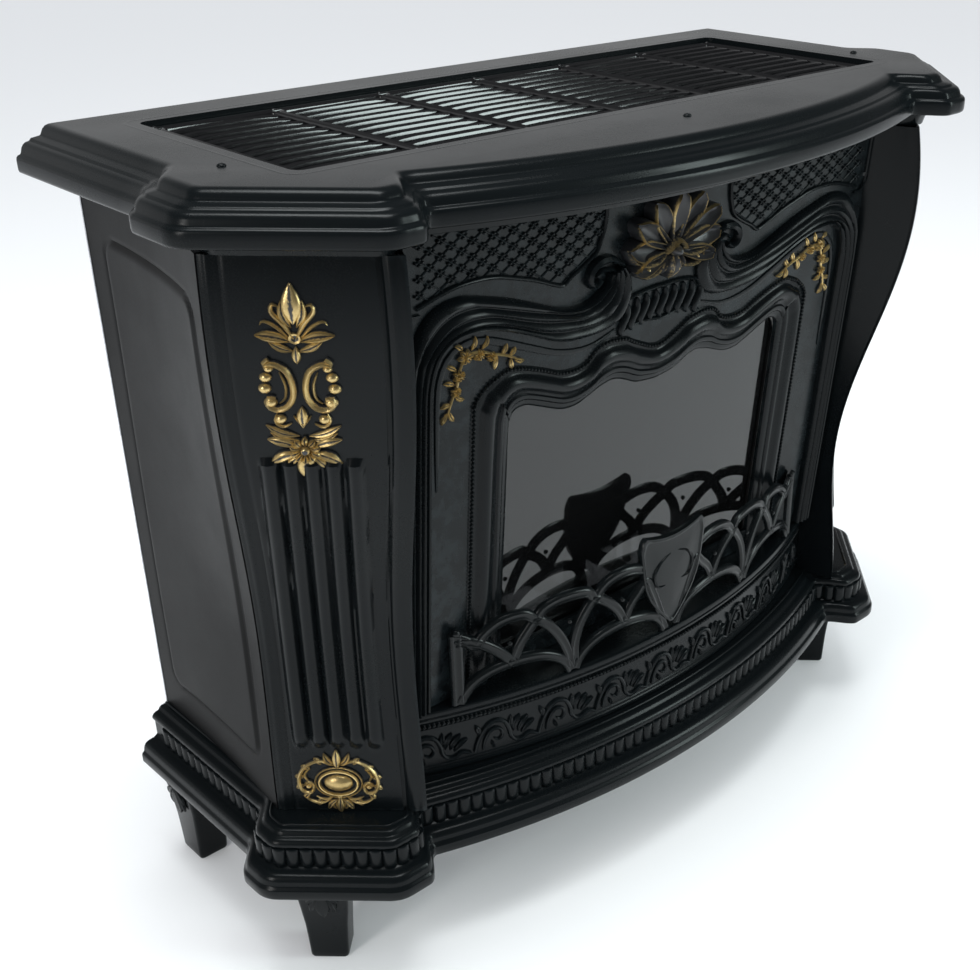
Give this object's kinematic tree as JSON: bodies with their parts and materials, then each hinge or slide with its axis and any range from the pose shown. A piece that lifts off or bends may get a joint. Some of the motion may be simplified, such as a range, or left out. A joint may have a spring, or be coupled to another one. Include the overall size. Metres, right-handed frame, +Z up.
{
  "type": "gas heater",
  "caption": "Freestanding gas heater in ornate cast-style casing with a bowed moulded top, fluted corner columns, a waved fire window, a lift-off grille and a rear flue spigot.",
  "frame": {"origin": "on the floor, in the middle of the whole heater seen from above, flue spigot included", "axes": "+Z up, the fire window faces -Y, +X to the viewer's right"},
  "size_m": [0.972, 0.482, 0.797],
  "materials": {
    "satin_black": "satin powder coat",
    "black_sheet": "satin sheet",
    "gloss_enamel": "gloss enamel",
    "antique_brass": "rubbed antique",
    "fire_glass": "smoked",
    "bare_steel": "mill",
    "zinc_steel": "galvanised",
    "valve_alloy": "die cast",
    "pipe_metal": "satin",
    "brass_fittings": "turned",
    "knob_plastic": "matte",
    "seal_cord": "woven",
    "cast_burner": "as cast"
  },
  "bodies": {
    "heater": {"base_plinth": "satin_black", "burner_bracket": "zinc_steel", "burner_pipe": "pipe_metal", "burner_tube": "cast_burner", "cartouche_left": "antique_brass", "cartouche_right": "antique_brass", "column_ornament_left": "antique_brass", "column_ornament_right": "antique_brass", "control_bracket": "zinc_steel", "corner_column_left": "satin_black", "corner_column_right": "satin_black", "corner_spray_left": "antique_brass", "corner_spray_right": "antique_brass", "fire_fence": "gloss_enamel", "firebox": "zinc_steel", "firebox_stand_left": "zinc_steel", "firebox_stand_right": "zinc_steel", "floor_pan": "zinc_steel", "flue_box": "zinc_steel", "flue_collar": "zinc_steel", "foot_front_left": "satin_black", "foot_front_right": "satin_black", "foot_rear_left": "satin_black", "foot_rear_right": "satin_black", "front_frame": "satin_black", "front_pins": "bare_steel", "igniter_body": "knob_plastic", "injector": "brass_fittings", "inlet_nipple": "brass_fittings", "inlet_pipe": "pipe_metal", "ledge": "satin_black", "mixer_tube": "cast_burner", "pilot_burner": "brass_fittings", "rear_panel": "zinc_steel", "rear_screws": "bare_steel", "shell_ornament": "antique_brass", "side_panel_left": "black_sheet", "side_panel_right": "black_sheet", "spark_electrode": "bare_steel", "thermocouple": "bare_steel", "tongue_ornament": "satin_black", "top_cover": "satin_black", "top_screws": "bare_steel", "valve_body": "valve_alloy", "window_gasket": "seal_cord", "window_glass": "fire_glass", "window_retainer": "bare_steel"},
    "grille": {"top_grille": "gloss_enamel"},
    "apron": {"access_panel": "satin_black"},
    "tap_plug": {"tap_plug": "brass_fittings"},
    "knob": {"control_knob": "knob_plastic", "valve_spindle": "bare_steel"},
    "igniter_button": {"igniter_button": "knob_plastic"},
    "air_shutter": {"air_shutter": "zinc_steel"}
  },
  "joints": [
    {"name": "grille_lift", "type": "slide", "parent": "heater", "child": "grille", "axis": [0, 0, 1], "range_m": [0, 0.04]},
    {"name": "apron_pull", "type": "slide", "parent": "heater", "child": "apron", "axis": [0, -1, 0], "range_m": [0, 0.06]},
    {"name": "tap_turn", "type": "hinge", "parent": "heater", "child": "tap_plug", "pos_m": [0.12, -0.071, 0.212], "axis": [0, 1, 0], "range_deg": [0, 180]},
    {"name": "knob_push", "type": "slide", "parent": "tap_plug", "child": "knob", "axis": [0, 1, 0], "range_m": [0, 0.004], "stiffness_N_per_m": 800, "springref_m": -0.002},
    {"name": "igniter_push", "type": "slide", "parent": "heater", "child": "igniter_button", "axis": [0, 1, 0], "range_m": [0, 0.006], "stiffness_N_per_m": 900, "springref_m": -0.002},
    {"name": "shutter_turn", "type": "hinge", "parent": "heater", "child": "air_shutter", "pos_m": [0, -0.004, 0.248], "axis": [0, 0, 1], "range_deg": [-35, 35]}
  ]
}
